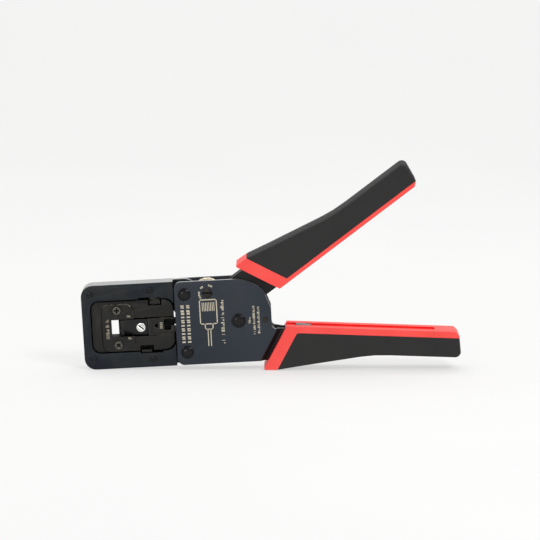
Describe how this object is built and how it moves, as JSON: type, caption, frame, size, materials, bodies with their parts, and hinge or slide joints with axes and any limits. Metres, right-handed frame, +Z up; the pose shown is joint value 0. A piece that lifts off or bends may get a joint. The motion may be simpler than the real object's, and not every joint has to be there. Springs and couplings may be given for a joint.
{
  "type": "modular plug crimping tool",
  "caption": "Ratchet crimping tool: laminated head with a die set in its window, plate body, toggle-driven ram and two moulded grips, standing on edge with the handles open.",
  "frame": {"origin": "bottom centre of the tool as it stands on its edge, handles open", "axes": "+X from the head towards the handle ends, +Y from the front plate to the rear plate, +Z up"},
  "size_m": [0.2487, 0.022, 0.1364],
  "materials": {
    "side_plate_front": "dark blue-grey oxide coating, fine grain",
    "side_plate_rear": "dark blue-grey oxide coating, fine grain",
    "head_face_front": "dark blue-grey oxide coating, fine grain",
    "head_face_rear": "dark blue-grey oxide coating, fine grain",
    "lever_plate_front": "dark blue-grey oxide coating, fine grain",
    "lever_plate_rear": "dark blue-grey oxide coating, fine grain",
    "head_core": "machined or blackened steel",
    "head_rivets": "machined or blackened steel",
    "die_retainer_upper": "machined or blackened steel",
    "die_retainer_lower": "machined or blackened steel",
    "frame_pin_upper": "machined or blackened steel",
    "frame_pin_lower": "machined or blackened steel",
    "main_pivot_pin": "machined or blackened steel",
    "retaining_rings": "machined or blackened steel",
    "pawl_pin": "machined or blackened steel",
    "tang_spacer": "machined or blackened steel",
    "tang_rivets": "machined or blackened steel",
    "die_body": "machined or blackened steel",
    "die_cover_plate": "machined or blackened steel",
    "die_rear_cover": "machined or blackened steel",
    "cover_screws": "machined or blackened steel",
    "rear_cover_screws": "machined or blackened steel",
    "return_spring": "machined or blackened steel",
    "pawl_spring": "machined or blackened steel",
    "lever_spacer": "machined or blackened steel",
    "lever_rivets": "machined or blackened steel",
    "crank_pin": "machined or blackened steel",
    "toggle_link": "machined or blackened steel",
    "ram": "machined or blackened steel",
    "ram_pin": "machined or blackened steel",
    "die_slide": "machined or blackened steel",
    "crimp_punch": "machined or blackened steel",
    "punch_screw": "machined or blackened steel",
    "contact_blades": "machined or blackened steel",
    "strain_relief_bar": "machined or blackened steel",
    "ratchet_pawl": "machined or blackened steel",
    "adjuster_pin": "machined or blackened steel",
    "adjuster_wheel": "machined or blackened steel",
    "lower_grip_core": "matte moulded plastic",
    "upper_grip_core": "matte moulded plastic",
    "lower_grip_overmould": "matte soft-touch overmould",
    "upper_grip_overmould": "matte soft-touch overmould",
    "grip_insert": "gloss black moulding"
  },
  "bodies": {
    "frame": {"side_plate_front": "side_plate_front", "side_plate_rear": "side_plate_rear", "head_core": "head_core", "head_face_front": "head_face_front", "head_face_rear": "head_face_rear", "head_rivets": "head_rivets", "die_retainer_upper": "die_retainer_upper", "die_retainer_lower": "die_retainer_lower", "frame_pin_upper": "frame_pin_upper", "frame_pin_lower": "frame_pin_lower", "main_pivot_pin": "main_pivot_pin", "retaining_rings": "retaining_rings", "pawl_pin": "pawl_pin", "tang_spacer": "tang_spacer", "tang_rivets": "tang_rivets", "lower_grip_core": "lower_grip_core", "lower_grip_overmould": "lower_grip_overmould", "grip_insert": "grip_insert", "die_body": "die_body", "die_cover_plate": "die_cover_plate", "die_rear_cover": "die_rear_cover", "cover_screws": "cover_screws", "rear_cover_screws": "rear_cover_screws", "return_spring": "return_spring", "pawl_spring": "pawl_spring"},
    "lever": {"lever_plate_front": "lever_plate_front", "lever_plate_rear": "lever_plate_rear", "lever_spacer": "lever_spacer", "lever_rivets": "lever_rivets", "crank_pin": "crank_pin", "upper_grip_core": "upper_grip_core", "upper_grip_overmould": "upper_grip_overmould"},
    "ram": {"ram": "ram", "ram_pin": "ram_pin", "die_slide": "die_slide", "crimp_punch": "crimp_punch", "punch_screw": "punch_screw", "contact_blades": "contact_blades", "strain_relief_bar": "strain_relief_bar"},
    "link": {"toggle_link": "toggle_link"},
    "pawl": {"ratchet_pawl": "ratchet_pawl"},
    "adjuster": {"adjuster_pin": "adjuster_pin", "adjuster_wheel": "adjuster_wheel"}
  },
  "joints": [
    {"name": "handle_close", "type": "hinge", "parent": "frame", "child": "lever", "pos_m": [-0.02108, 0, 0.0329], "axis": [0, 1, 0], "range_deg": [0, 38], "stiffness_Nm_per_rad": 1.2, "springref_deg": -17.19, "deforming": ["return_spring"]},
    {"name": "ram_slide", "type": "slide", "parent": "frame", "child": "ram", "axis": [-0.9986, 0, -0.053], "range_m": [0, 0.00376]},
    {"name": "link_swing", "type": "hinge", "parent": "lever", "child": "link", "pos_m": [-0.02649, 0, 0.02571], "axis": [0, 1, 0], "range_deg": [-47.72, 0]},
    {"name": "pawl_swing", "type": "hinge", "parent": "frame", "child": "pawl", "pos_m": [-0.00368, 0, 0.03352], "axis": [0, 1, 0], "range_deg": [-15, 0], "stiffness_Nm_per_rad": 0.02, "springref_deg": 17.19, "deforming": ["pawl_spring"]},
    {"name": "adjuster_turn", "type": "hinge", "parent": "frame", "child": "adjuster", "pos_m": [-0.04167, 0, 0.05103], "axis": [0, 1, 0], "range_deg": [-120, 120]}
  ],
  "couplings": [
    {"joint": "ram_slide", "follows": "handle_close", "m_per_rad": 0.0056735},
    {"joint": "link_swing", "follows": "handle_close", "ratio": -1.2555}
  ]
}
